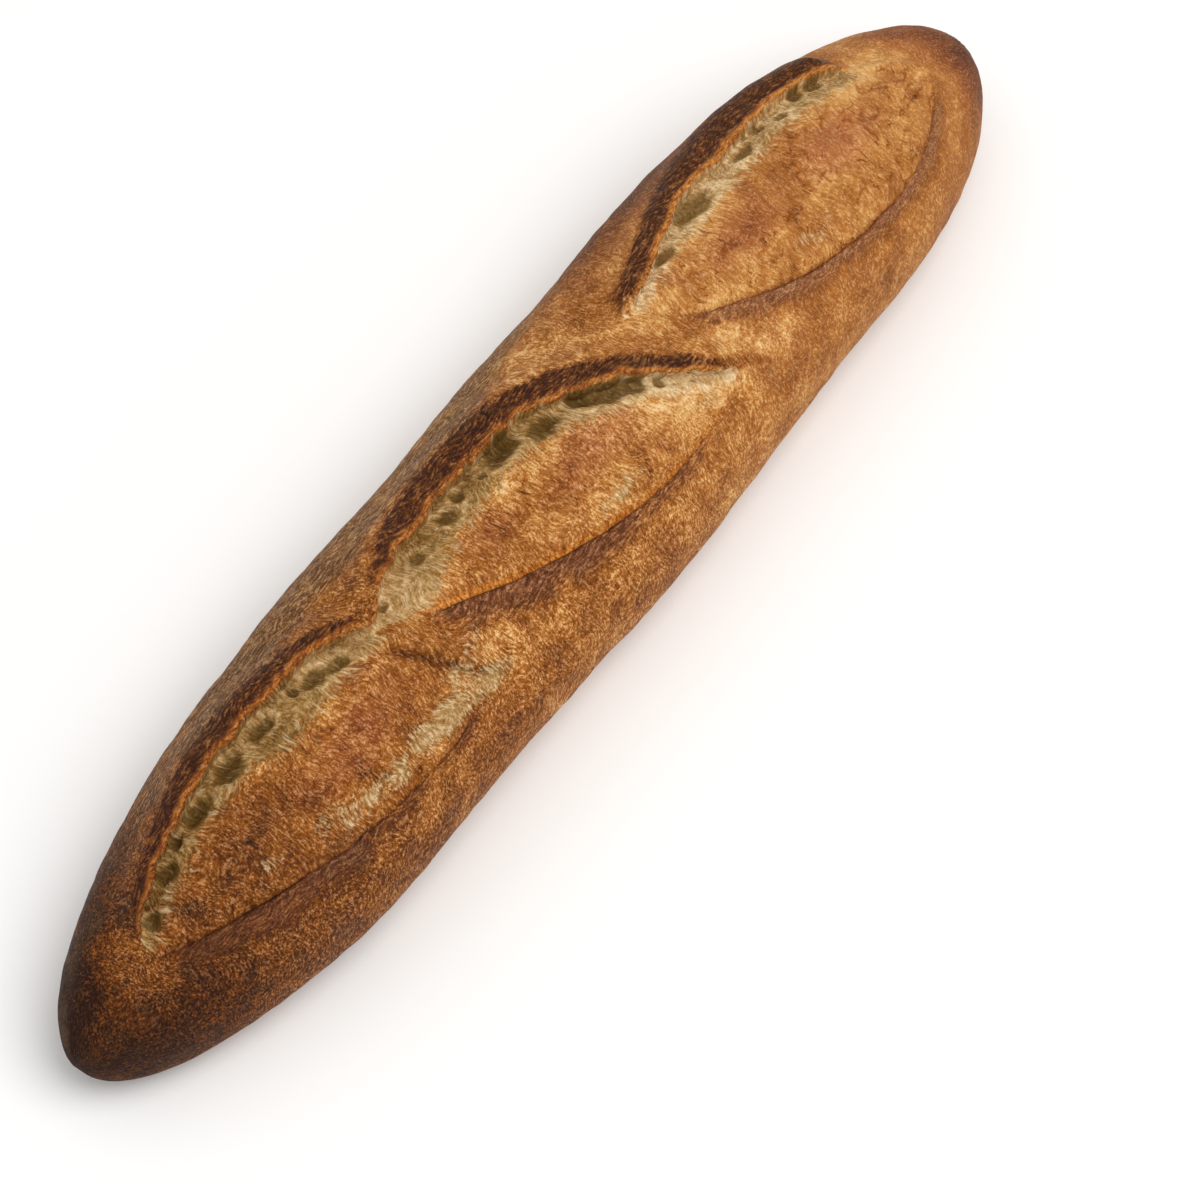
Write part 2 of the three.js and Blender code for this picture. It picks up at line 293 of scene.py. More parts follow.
def slash_relief(slash, x, angle, skin):
    """What one slash adds at each place: out from the skin, lean over it, and its zones from 0 to 1."""
    (near_x, _), (far_x, _) = slash["near"], slash["far"]
    ear = past(lambda s: edge_angle(slash, "ear", s), x, angle)
    lip = past(lambda s: lip_angle(slash, s), x, angle)
    petal = past(lambda s: petal_angle(slash, s), x, angle)
    seam = past(lambda s: edge_angle(slash, "seam", s) + tear(s, 13) * 0.6 / SKIN_PER_DEGREE, x, angle)
    ragged = 0.3 * lumps(skin, 1.5, 31) + 0.3 * lumps(skin, 4, 32)
    lip = lip + ragged
    open_width = ear - seam
    ends = smooth(x, near_x, near_x + TIP_FADE) * (1 - smooth(x, far_x - TIP_FADE, far_x))
    strength = ends * smooth(open_width, 0, OPEN_FADE)
    shown = smooth(x, near_x, near_x + 3) * (1 - smooth(x, far_x - 3, far_x)) * smooth(open_width, 0, 5)

    # The ear rises to its crest and sinks a little to the torn lip. Below it the crumb climbs to the petal.
    torn = 1 - smooth(x, slash["torn_to"] - 5, slash["torn_to"] + 1)
    past_lip = smooth(lip, 0, 1.1)
    outer = smooth(ear, -EAR_FOOT, 1.5) ** 1.7
    crown = 1 - (1 - LIP_DROP) * smooth(ear, 2, 9)
    crest = outer * crown * (1 - past_lip) * torn
    share = np.clip(lip / np.maximum(lip - petal, 1), 0, 1)
    into_petal = smooth(share, 0.05, 1.05)
    in_crumb = past_lip * (1 - into_petal) * torn

    # The petal ends in the seam's groove, and an edge of old skin stands beyond it where it burnt.
    width = read_off(slash["seam_burn"], x)
    seam_share = read_off(slash["seam_burn"], x, 2)
    seam_open = np.sqrt(seam_share)
    in_petal = past_lip * into_petal * smooth(-seam, -0.4, lerp(12, 6, seam_open))
    groove = seam_open * np.exp(-((seam + 0.2) / SEAM_WIDTH) ** 2)
    fold = seam_open * smooth(seam, -0.2, 1) * (1 - smooth(seam, 1, FOLD_WIDTH)) ** 1.4
    out = slash["ear_height"] * crest - CRUMB_DEPTH * in_crumb + PETAL_BULGE * in_petal
    out = out - SEAM_DEPTH * groove + FOLD_HEIGHT * fold
    lean = EAR_LEAN * crest - LIP_UNDERCUT * np.exp(-((lip - 1.2) / 0.7) ** 2) - FOLD_LEAN * fold

    # The zones of colour: the burnt ear with its thin orange edge, the burnt band beyond the seam, and
    # painted shade in the seam's groove.
    orange = read_off(slash["lip"], x, 2)
    burn_from = slash["burn_from"]
    ear_burn = read_off(slash["ear_burn"], x) * smooth(ear, burn_from - 2.8, burn_from + 2.8)
    ear_burn = ear_burn * (1 - 0.35 * smooth(lip, -2 * orange, -orange)) * (1 - smooth(lip, -orange, 0.2))
    seam_burn = seam_share * smooth(seam, -0.8, 0.6) * (1 - smooth(seam, width * 0.1, width * 1.2))
    seam_line = seam_share * read_off(slash["seam_line"], x) * np.exp(-((seam - 0.1) / 0.7) ** 2)
    bare = shown * (1 - smooth(x, slash["torn_to"] - 2.5, slash["torn_to"]))
    edge = bare * smooth(lip, -1.8 * orange, -0.4 * orange) * smooth(ear, 0, 2.5) * (1 - smooth(lip, 0, 0.9))
    zones = {
        "char": ear_burn,
        "band": seam_burn,
        "seam": seam_line,
        "lip": edge,
        "hem": slash["hem"] * shown * seam_open * np.exp(-((seam + 0.9) / 1.2) ** 2) * (seam < 0.3),
        "crumb": bare * smooth(lip, -0.1, 0.8) * (1 - smooth(petal, -3.5, 4.5)) * smooth(-seam, 0, 2),
        "petal": shown * smooth(petal, -2, 3) * smooth(-seam, -0.3, 0.7),
        "fresh": shown * smooth(petal, -3, 1) * (1 - smooth(petal, 1, 9)),
        "floor": in_crumb * strength,
    }
    return out * strength, lean * strength, zones


# The creases
# Where two slashes overlap, the whole skin between them was dragged and folded as they opened. Each crease
# is a line of places, with how deep it is, how far the skin beside it on the +X side stands up, and how
# much shade is painted along it.
CREASES = (
    {"line": ((-66.5, 0), (-63.5, 11), (-59, 25), (-55, 35), (-51, 43), (-46, 49)),
     "depth": 1.0, "step": 1.5, "dark": 1},
    {"line": ((46, 24), (50, 29), (54, 35), (59, 43), (62, 52)), "depth": 0.6, "step": 0.3, "dark": 0.9},
    # a low ridge, so its depth is below 0, and its dark is below 0 so that it is painted lighter instead of
    # shaded
    {"line": ((28, -23), (36, -17), (40, -10), (50, 3), (56, 9)), "depth": -0.6, "step": 0.2, "dark": -0.3},
)
CREASE_WIDTH = 1.4


def creases(x, angle):
    out = np.zeros(len(x))
    dark = np.zeros(len(x))
    for crease in CREASES:
        line = np.array(crease["line"], float)
        line[:, 1] *= SKIN_PER_DEGREE
        spot = np.column_stack([x, angle * SKIN_PER_DEGREE])
        nearest = np.full(len(x), 1e9)
        side = np.zeros(len(x))
        fade = np.zeros(len(x))
        for i, (start, end) in enumerate(zip(line[:-1], line[1:])):
            way = end - start
            share = np.clip((spot - start) @ way / (way @ way), 0, 1)
            gap = spot - (start + share[:, None] * way)
            distance = np.hypot(gap[:, 0], gap[:, 1])
            closer = distance < nearest
            nearest = np.where(closer, distance, nearest)
            side = np.where(closer, np.sign(way[1] * gap[:, 0] - way[0] * gap[:, 1]), side)
            whole = (i + share) / (len(line) - 1)
            fade = np.where(closer, smooth(whole, 0, 0.1) * (1 - smooth(whole, 0.75, 1)), fade)
        fold = np.exp(-(nearest / CREASE_WIDTH) ** 2)
        raised = (side > 0) * smooth(nearest, 0, 1.2) * (1 - smooth(nearest, 1.5, 9))
        out += fade * (crease["step"] * raised - crease["depth"] * fold)
        # Shade is painted along the crease, spreading further on the side away from the raised skin.
        beside = np.where(side > 0, nearest * 1.6, nearest / 1.6)
        dark += crease["dark"] * fade * np.exp(-(beside / 1.1) ** 2)
    return out, dark


def loaf_relief(x, angle):
    """Out from the plain skin and lean over it at each place, in millimetres, and the zones."""
    skin = np.column_stack([x, angle * SKIN_PER_DEGREE])
    body = plain_skin(x, angle)
    above = smooth(-np.abs(angle), -BASE_ANGLE, -FLANK_ANGLE)
    out = hand_marks(x, angle)
    lean = np.zeros(len(x))
    zones = {}
    for slash in SLASHES:
        slash_out, slash_lean, slash_zones = slash_relief(slash, x, angle, skin)
        out = out + slash_out
        lean = lean + slash_lean
        for name, amount in slash_zones.items():
            zones[name] = np.maximum(zones.get(name, 0), amount)
    zones["crumb"] = zones["crumb"] * lerp(0.7, 1, smooth(x, -150, -95))  # browned near the dark end
    crumb, petal = zones["crumb"], zones["petal"]
    skin_zone = (1 - crumb) * (1 - petal)

    # The crumb has its pockets, pores and strands. The pockets are shallower where the first two slashes meet
    # and under the third ear.
    pocket, cell_wall = pockets(x, angle)
    pocket = pocket * smooth(crumb + zones["floor"], 0.15, 0.6)
    cell_wall = cell_wall * crumb
    zones["pocket"] = pocket
    zones["cell_wall"] = cell_wall
    cells = np.maximum(pores(skin, 3.4, 0.5, 1), 0.6 * pores(skin, 1.9, 0.5, 2)) * crumb * (1 - pocket)
    zones["pore"] = cells
    strands = 1 - np.abs(lumps(skin @ [[1, 0.25], [-0.25, 1]], (1.7, 7), 41))
    shallow = np.exp(-((x + 38) / 22) ** 4)
    depth = POCKET_DEPTH * (1 - 0.5 * shallow) * lerp(1, 0.35, smooth(x, 45, 70))
    out = out - depth * pocket + WALL_HEIGHT * cell_wall - PORE_DEPTH * cells
    out = out + crumb * STRAND_HEIGHT * (strands - 0.6)
    out = out + crumb * (0.3 * lumps(skin, 4.5, 42) + 0.15 * lumps(skin, 1.8, 43))

    # The petals are uneven, with fine wrinkles, and the old skin is smoother.
    fibres = lumps(skin, (1.4, 4.5), 44)
    bends = lumps(skin, (3.5, 3.5), 50)
    fold_line = lumps(skin @ [[1, 0.5], [-0.5, 1]] + bends[:, None], (9, 6), 51)
    broken = smooth(lumps(skin, 8, 52), -0.15, 0.4)
    thin_skin = lerp(0.35, 1, smooth(x, 60, 85)) * (1 - smooth(x, 150, 160))
    wrinkle = petal * thin_skin * broken * np.exp(-(fold_line / 0.09) ** 2)
    zones["wrinkle"] = wrinkle
    out = out - WRINKLE_DEPTH * wrinkle
    out = out + petal * (0.42 * lumps(skin, (6, 9), 45) + 0.25 * lumps(skin, 3.2, 46) + 0.13 * fibres)
    wrinkles = lumps(skin @ [[1, 0.12], [-0.12, 1]], (9, 2.2), 47)
    tone = 0.24 * lumps(body, 14, 48) + 0.13 * lumps(body, 5, 49) + 0.08 * wrinkles
    out = out + skin_zone * tone

    crease_out, crease_shade = creases(x, angle)
    zones["crease"] = crease_shade
    out = out + crease_out
    return above * out, above * lean, zones


# The whole skin
# It is one closed surface. It starts as a globe with its poles at the two tips. The columns that run along
# it follow the ears and the seams, so that those edges stay sharp, and crowd together there.
COLUMNS = 196
RINGS = 500
TIP_CROWDING = 0.25  # 0 for rings at even stations, 1 for a globe's
BRIDGES = (-57, 53)  # stations of the whole skin between two slashes
BRIDGE_LENGTH = 22
LEAST_OPENING = 34  # degrees kept between the columns of the ear and of the seam
FLOOR_CORNER = 138
# Which columns lie on the base's corner, the ear's foot, its torn lip, below it, and on the seam
LANDMARKS = (0, 10, 50, 66, 73, 132, 142, 186, 196)
EAR_FOOT_ANGLE = 14
LIP_DROP_ANGLE = 2
SEAM_ANGLE = 4


def follow(line, x):
    """A slash's line that passes on to the next slash's over the bridges of whole skin."""
    angle = line(SLASHES[0], x)
    for slash, at in zip(SLASHES[1:], BRIDGES):
        angle = lerp(angle, line(slash, x), smooth(x, at - BRIDGE_LENGTH / 2, at + BRIDGE_LENGTH / 2))
    return angle


def column_angle(column, x):
    """The angle of a column at a station, one station for each column."""
    ear = follow(lambda slash, s: edge_angle(slash, "ear", s), x)
    seam = follow(lambda slash, s: edge_angle(slash, "seam", s), x)
    lip = follow(lip_angle, x) - ear
    half = np.maximum((seam - ear) / 2, LEAST_OPENING / 2)
    middle = (ear + seam) / 2
    ear, seam = middle - half, middle + half
    corner = np.full(len(x), float(FLOOR_CORNER))
    lines = (-180 + 0 * x, -corner, ear - EAR_FOOT_ANGLE, ear + lip, ear + lip + LIP_DROP_ANGLE,
             seam - SEAM_ANGLE, seam + SEAM_ANGLE, corner, 180 + 0 * x)
    angle = np.zeros(len(x))
    for i in range(len(LANDMARKS) - 1):
        share = (column - LANDMARKS[i]) / (LANDMARKS[i + 1] - LANDMARKS[i])
        inside = (share >= 0) & (share <= 1)
        angle = np.where(inside, lerp(lines[i], lines[i + 1], share), angle)
    return angle


bpy.ops.object.select_all(action="DESELECT")
bpy.ops.mesh.primitive_uv_sphere_add(segments=COLUMNS, ring_count=RINGS, radius=1)
loaf = bpy.context.object
loaf.name = "crusty_loaf"
bpy.ops.object.mode_set(mode="EDIT")
bpy.ops.mesh.select_all(action="SELECT")
bpy.ops.transform.rotate(value=math.radians(90), orient_axis="Y", center_override=(0, 0, 0))
bpy.ops.object.mode_set(mode="OBJECT")

globe = np.zeros(len(loaf.data.vertices) * 3, np.float32)
loaf.data.vertices.foreach_get("co", globe)
globe = globe.reshape(-1, 3).astype(float)
ring = np.round(np.arccos(np.clip(-globe[:, 0], -1, 1)) / np.pi * RINGS)
turn = np.degrees(np.arctan2(-globe[:, 1], globe[:, 2]))
column = np.round((turn + 180) / 360 * COLUMNS) % COLUMNS
pole = (ring == 0) | (ring == RINGS)
column[pole] = COLUMNS / 2
along_loaf = lerp(2 * ring / RINGS - 1, -np.cos(np.pi * ring / RINGS), TIP_CROWDING)
station = LENGTH / 2 * along_loaf
angle = column_angle(column, station)

relief, lean, zones = loaf_relief(station, angle)
inside = np.clip(station, -LENGTH / 2 + 1, LENGTH / 2 - 1)
along = plain_skin(inside + 0.5, angle) - plain_skin(inside - 0.5, angle)
around = plain_skin(inside, angle + 0.5) - plain_skin(inside, angle - 0.5)
outward = np.cross(around, along)
outward /= np.linalg.norm(outward, axis=1)[:, None]
around /= np.linalg.norm(around, axis=1)[:, None]
place = plain_skin(station, angle) + outward * relief[:, None] + around * lean[:, None]
place[:, 2] = np.maximum(place[:, 2], 0)
loaf.data.vertices.foreach_set("co", (place * MM).astype(np.float32).ravel())

bpy.ops.object.mode_set(mode="EDIT")
bpy.ops.mesh.select_all(action="SELECT")
bpy.ops.mesh.remove_doubles(threshold=0.000001)
bpy.ops.mesh.normals_make_consistent(inside=False)
bpy.ops.object.mode_set(mode="OBJECT")
bpy.ops.object.shade_smooth()
loaf.data.update()

# A map of the skin in millimetres, along the loaf and round it, for what follows the surface. The faces
# that close the ring on the base count on past the last column.
mesh = loaf.data
loop_vertex = np.zeros(len(mesh.loops), np.int32)
mesh.loops.foreach_get("vertex_index", loop_vertex)
first = np.zeros(len(mesh.polygons), np.int32)
corners = np.zeros(len(mesh.polygons), np.int32)
mesh.polygons.foreach_get("loop_start", first)
mesh.polygons.foreach_get("loop_total", corners)
loop_angle = angle[loop_vertex]
face_of_loop = np.repeat(np.arange(len(first)), corners)
widest = np.maximum.reduceat(loop_angle, first)[face_of_loop]
loop_angle = np.where((loop_angle < -170) & (widest > 0), loop_angle + 360, loop_angle)
skin_map = mesh.uv_layers[0]
skin_map.name = "skin"
skin_map.data.foreach_set(
    "uv",
    np.column_stack([station[loop_vertex], loop_angle * SKIN_PER_DEGREE]).astype(np.float32).ravel(),
)


# How far each place is baked, and its painted shade
# The -X end stood nearer the hot side of the oven and went dark brown, and the +X end stayed golden. Thin
# edges, the ears and the skin beyond the seams, burnt first. Flour from the cloth dulls the +Y flank. Shade
# is painted into the creases, the wrinkles, the seams' grooves and the crumb's pockets and pores.

# How dark the crust is along the loaf, from pale gold at 0 to nearly black at 1
BAKE = ((-184, 1.02), (-176, 0.93), (-166, 0.76), (-140, 0.65), (-110, 0.56), (-60, 0.46), (-20, 0.40),
        (40, 0.32), (120, 0.30), (160, 0.33), (184, 0.46))
# Where flour stayed on a petal or a bridge: station, angle, half length, half width, strength
FLOUR = (
    (-72, 40, 17, 5.5, 1), (-60, 36, 7, 7, 0.9), (-50, 30, 5, 9, 0.6), (4, 34, 12, 3, 0.8),
    (-98, 38, 14, 4.2, 0.75), (-55, 44, 10, 5, 0.9), (-108, 31, 8, 4, 0.5), (-89, 39, 10, 4.5, 0.9),
    (45, 38, 10, 3, 0.6), (100, 28, 11, 5, 0.5), (112, 21, 7, 4, 0.3), (-125, 25, 5, 2.5, 0.6),
)
# Lighter and darker places: station, angle, half length, half width, change
TONES = (
    (-176, -30, 14, 24, 0.22), (-160, 8, 9, 16, -0.12), (44, -26, 10, 7, 0.13), (57, 30, 10, 9, -0.16),
    (67, 47, 10, 7, -0.13), (38, 38, 10, 5, -0.05), (85, -60, 45, 17, 0.35), (138, -6, 16, 7, -0.05),
    (-46, 38, 12, 9, -0.09), (-42, 52, 10, 6, -0.07), (-162, 72, 24, 26, 0.16), (-158, -66, 30, 26, 0.22),
    (100, 5, 42, 16, 0.04), (-57, -24, 7, 5, 0.06), (175, 45, 13, 34, 0.26), (172, -22, 9, 20, 0.14),
    (152, -8, 10, 8, -0.08), (110, -80, 70, 20, 0.07), (178, 0, 8, 60, 0.08), (-24, 6, 14, 5, 0.06),
    (8, 13, 16, 6, 0.04), (-96, 17, 22, 8, 0.03), (95, 4, 22, 8, 0.08), (-67, -9, 6, 4, -0.10),
    (30, 28, 16, 7, -0.06), (-40, 22, 12, 5, -0.05), (-80, 8, 16, 5, -0.06), (-104, 34, 16, 6, -0.06),
    (-40, 75, 150, 14, 0.03), (110, 70, 60, 20, 0.05), (108, 29, 20, 6, 0.06), (-90, 18, 10, 6, -0.04),
    (-40, -95, 130, 22, 0.08),
)
# How strong the dashes are along the loaf
GRIT = ((-184, 0.9), (-165, 1.15), (10, 1), (45, 0.7), (70, 0.6), (110, 0.5), (184, 0.3))
# How creamy the open crumb is along the loaf
CREAM = ((-160, 0.25), (-150, 0.0), (-115, -0.06), (-85, 0.1), (-60, 0.5), (-50, 0.4), (-35, 0.1), (15, 0.1),
         (35, 0.8), (55, 0.95), (75, 0.6), (110, 0.45), (150, 0.4))
# How dark the painted shade in the pockets and pores is along the loaf
POCKET_SHADE = ((-150, 1), (-120, 0.85), (-70, 0.9), (-55, 0.6), (-12, 0.62), (-5, 1.15), (30, 1.15), (60, 0.8),
           (140, 0.7))
# Where the crust is redder: station, angle, half length, half width, strength
RED = ((-92, 17, 22, 8, 0.9), (10, 14, 18, 7, 0.7), (-24, 5, 11, 4, 0.5), (85, 5, 20, 8, 0.8),
       (120, 10, 18, 9, 0.9), (174, 20, 14, 60, 1))
# What each zone adds to that or takes away
CHAR_DARKENS = 0.42
BAND_DARKENS = 0.3
# Painted shade in the creases
CREASE_SHADE = 0.3
# Painted shade in the petals' wrinkles
WRINKLE_DARKENS = 0.22
# Painted shade in the seams' grooves
SEAM_DARKENS = 0.12
PETAL_LIGHTENS = 0.03
FRESH_LIGHTENS = 0.11  # the edge of the petal that came up last, beside the crumb
PETAL_CALMS = 0.2  # the dashes are this much weaker on a petal
WALL_FROM = (24, 46)  # the dulled flank starts this far down: up to the middle of the loaf, and past it
BASE_FROM, BASE_TO = 128, 146  # between these angles the flank's crust passes into the base's
BASE_BAKE = 0.92  # the tray browns the base a little less than the flanks
BASE_LEAST = 0.5


def patches(x, angle, spots):
    """How much of the strongest of these soft ovals each place has."""
    strongest = np.zeros(len(x))
    for middle_x, middle, half_length, half_width, strength in spots:
        reach = np.hypot((x - middle_x) / half_length, (angle - middle) * SKIN_PER_DEGREE / half_width)
        strongest = np.maximum(strongest, strength * (1 - smooth(reach, 0.3, 1.25)))
    return strongest


bake_and_shade = read_off(BAKE, station)
char = zones["char"]
bake_and_shade = bake_and_shade + CHAR_DARKENS * char * smooth(char, 0, 0.7) + BAND_DARKENS * zones["band"]
# Painted shade in the creases
bake_and_shade = bake_and_shade + CREASE_SHADE * zones["crease"]
# Painted shade in the wrinkles and in the seams' grooves
bake_and_shade = bake_and_shade + WRINKLE_DARKENS * zones["wrinkle"] + SEAM_DARKENS * zones["seam"]
petal_share = zones["petal"]
fresh = zones["fresh"] * smooth(station, -155, -110) * (1 - 0.5 * smooth(station, 40, 80))
bake_and_shade = bake_and_shade - PETAL_LIGHTENS * petal_share - FRESH_LIGHTENS * fresh
for *spot, change in TONES:
    bake_and_shade = bake_and_shade + change * patches(station, angle, [(*spot, 1)])
base_share = smooth(np.abs(angle), BASE_FROM, BASE_TO)
bake_and_shade = lerp(bake_and_shade, np.maximum(BASE_LEAST, BASE_BAKE * bake_and_shade), base_share)

# The dulled flank fades out downwards and towards both ends of the loaf.
wall_from = lerp(WALL_FROM[0], WALL_FROM[1], smooth(station, 0, 45))
wall = smooth(-angle, wall_from, wall_from + 20) * (1 - smooth(-angle, 55, 105))
wall = wall * (1 - petal_share) * (1 - zones["crumb"]) * (1 - 0.8 * char)
wall = wall * (1 - 0.7 * smooth(station, 25, 75)) * (0.25 + 0.75 * smooth(station, -150, -100))
# Shade is painted into the pockets, and at half strength into the pores.
pocket_shade = np.maximum(smooth(zones["pocket"], 0, 0.8), 0.5 * zones["pore"]) * read_off(POCKET_SHADE, station)
layers = {
    "bake_and_shade": bake_and_shade,
    "char": char,
    "band": zones["band"],
    "lip": zones["lip"],
    "hem": zones["hem"],
    "crumb": zones["crumb"],
    "pocket": pocket_shade,
    "cell_wall": zones["cell_wall"],
    "seam": zones["seam"],
    "petal": petal_share,
    "flour": patches(station, angle, FLOUR),
    "red": patches(station, angle, RED),
    "wall": wall,
    "grit": read_off(GRIT, station) * (1 - PETAL_CALMS * petal_share),
    "cream": read_off(CREAM, station),
}
for name, values in layers.items():
    layer = mesh.attributes.new(name, "FLOAT", "POINT")
    layer.data.foreach_set("value", np.asarray(values, np.float32))


# The crust
# It is a lean wheat crust, baked dry with steam at the start. To the eye it is matt to silky, golden where
# it is thin and dark brown where it is thick, and broken into fine short dashes of light and dark.
DASH_WANDER = 9.0


def linear(code):
    parts = [int(code[i:i + 2], 16) / 255 for i in (1, 3, 5)]
    return [c / 12.92 if c <= 0.04045 else ((c + 0.055) / 1.055) ** 2.4 for c in parts] + [1]


crust = bpy.data.materials.new("wheat_crust")
crust.use_nodes = True
tree = crust.node_tree
tree.nodes.clear()


def put(kind, inputs=None, **settings):
    """Adds a node with its settings, and links or sets its inputs."""
    node = tree.nodes.new(kind)
    for name, value in settings.items():
        setattr(node, name, value)
    for socket, value in (inputs or {}).items():
        if isinstance(value, bpy.types.NodeSocket):
            tree.links.new(value, node.inputs[socket])
        else:
            node.inputs[socket].default_value = value
    return node


def amount(name):
    return put("ShaderNodeAttribute", attribute_name=name).outputs["Fac"]


def sum_of(*terms):
    """Adds up sockets, each times its factor: (socket, factor), and plain numbers."""
    total = 0.0
    for term in terms:
        if isinstance(term, tuple):
            node = put("ShaderNodeMath", {0: term[0], 1: term[1], 2: total}, operation="MULTIPLY_ADD")
        else:
            node = put("ShaderNodeMath", {0: total, 1: term}, operation="ADD")
        total = node.outputs[0]
    return total


def times(a, b):
    return put("ShaderNodeMath", {0: a, 1: b}, operation="MULTIPLY").outputs[0]


def between(value, low, high):
    """0 below low, 1 above high and smooth in between."""
    node = put("ShaderNodeMapRange", {"Value": value, "From Min": low, "From Max": high},
               interpolation_type="SMOOTHSTEP")
    return node.outputs["Result"]


def grains(space, size, seed, detail=3.0):
    """Grains of that size in millimetres, from about -1 to 1."""
    scale = [1 / s for s in size]
    moved = put("ShaderNodeMapping", {"Vector": space, "Location": (seed, seed * 1.7, seed * 2.3),
                                      "Scale": scale})
    fac = put("ShaderNodeTexNoise", {"Vector": moved.outputs[0], "Scale": 1.0, "Detail": detail,
                                     "Roughness": 0.6}).outputs["Fac"]
    return sum_of((fac, 4.0), -2.0)


def crisp(value):
    """The same grains with sharp edges between light and dark."""
    return sum_of((between(value, -0.75, 0.75), 2.0), -1.0)


def ramp(value, *stops):
    node = put("ShaderNodeValToRGB", {"Fac": value})
    elements = node.color_ramp.elements
    elements[0].position, elements[0].color = stops[0][0], linear(stops[0][1])
    elements[1].position, elements[1].color = stops[-1][0], linear(stops[-1][1])
    for position, code in stops[1:-1]:
        elements.new(position).color = linear(code)
    return node.outputs["Color"]


def over(below, above, share):
    return put("ShaderNodeMix", {"Factor": share, 6: below, 7: above}, data_type="RGBA").outputs[2]


skin_mm = put("ShaderNodeUVMap", uv_map="skin").outputs["UV"]
metres = put("ShaderNodeTexCoord").outputs["Object"]
body_mm = put("ShaderNodeVectorMath", {0: metres, "Scale": 1000.0}, operation="SCALE").outputs[0]

# The dashes are about 0.6 mm wide and 2 mm long. They run along the +Y flank and the burnt edges and across
# elsewhere, and they wander with the skin.
drift = put("ShaderNodeTexNoise", {"Vector": body_mm, "Scale": 0.08, "Detail": 1.0}).outputs["Color"]
wander = put("ShaderNodeVectorMath", {0: drift, "Scale": DASH_WANDER}, operation="SCALE").outputs[0]
skin_drawn = put("ShaderNodeVectorMath", {0: skin_mm, 1: wander}, operation="ADD").outputs[0]
dash_along = crisp(grains(skin_drawn, (2.2, 0.7, 1), 3))
dash_across = crisp(grains(skin_drawn, (0.6, 1.7, 1), 5))
dash_wall = crisp(grains(skin_drawn, (2.2, 1.2, 1), 19))
fine = crisp(grains(body_mm, (0.5, 0.5, 0.5), 7))
medium = grains(body_mm, (2.2, 2.2, 2.2), 9)
mottle = grains(body_mm, (8, 8, 8), 11, detail=1.0)
clouds = grains(body_mm, (16, 16, 16), 13, detail=1.0)
streaks = grains(skin_drawn, (4.5, 14, 1), 15, detail=1.0)
runs_along = between(sum_of(amount("wall"), amount("char"), amount("band")), 0.2, 0.7)
dashes = put("ShaderNodeMix", {"Factor": runs_along, "A": dash_across, "B": dash_along}).outputs["Result"]

# How baked the crust is, with the painted shade of the creases, wrinkles and seams' grooves added in.
texture = times(sum_of((dashes, 0.17), (fine, 0.12), (medium, 0.09), (mottle, 0.12)), amount("grit"))
doneness_and_shade = sum_of((amount("bake_and_shade"), 1.0), (texture, 1.0), (clouds, 0.08), (streaks, 0.07))

# The thin crust on the petals is wrinkled here and there, with shade painted along the folds.
fold_grain = grains(skin_drawn, (7, 14, 1), 23, detail=1.6)
fold_line = put("ShaderNodeMath", {0: fold_grain}, operation="ABSOLUTE").outputs[0]
fold_place = times(between(grains(body_mm, (6, 6, 6), 25), -0.1, 0.6), amount("petal"))
wrinkle = times(between(fold_line, 0.12, 0.02), fold_place)
doneness_and_shade = sum_of((doneness_and_shade, 1.0), (wrinkle, 0.26))
colour = ramp(
    doneness_and_shade,
    (0.0, "#e4bd88"), (0.15, "#ce9855"), (0.28, "#b27538"), (0.36, "#a2632a"),
    (0.50, "#884d13"), (0.66, "#6a3609"), (0.80, "#4e2606"), (0.95, "#391b06"), (1.0, "#280f04"),
)
reddened = ramp(doneness_and_shade, (0.0, "#deaf86"), (0.25, "#b26e44"), (0.5, "#8d4922"), (0.9, "#481f08"))
red_share = sum_of((amount("red"), 0.65), (clouds, 0.18), (mottle, 0.1), (medium, 0.1))
colour = over(colour, reddened, put("ShaderNodeClamp", {"Value": red_share}).outputs[0])

# A trace of flour dust pales the lightest dashes, less where the crust is dark.
dusty = between(sum_of((dashes, -0.6), (fine, -0.4)), 0.0, 1.0)
dusty_share = sum_of((between(amount("bake_and_shade"), 0.6, 0.9), -0.17), 0.2)
colour = over(colour, linear("#e0c4a0"), times(dusty, dusty_share))

# The burnt ears are nearly black in streaks along the edge, and the skin beyond the seams is purple brown.
scorched = ramp(sum_of((dash_along, -0.25), (fine, -0.1), (medium, -0.16), 0.5),
                (0.1, "#140601"), (0.45, "#3c1a09"), (0.7, "#683a17"), (0.95, "#ae7840"))
char_share = between(sum_of((amount("char"), 1.0), (dash_along, 0.16), (medium, 0.2)), 0.2, 0.8)
colour = over(colour, scorched, times(char_share, 0.9))
grit_along = times(dash_along, amount("grit"))
# The painted shade of the seam's groove darkens this purple brown further along the seam.
purple = ramp(sum_of((grit_along, -0.2), (fine, -0.12), (medium, -0.16), (amount("seam"), -0.3),
                     (amount("grit"), -0.3), (between(amount("bake_and_shade"), 0.85, 1.0), -0.15), 0.83),
              (0.1, "#2a0f03"), (0.45, "#61341a"), (0.7, "#8b593a"), (0.95, "#c9986e"))
band_share = between(sum_of((amount("band"), 1.0), (dash_along, 0.16), (medium, 0.25), (mottle, 0.15)),
                     0.2, 0.95)
colour = over(colour, purple, times(band_share, 0.85))

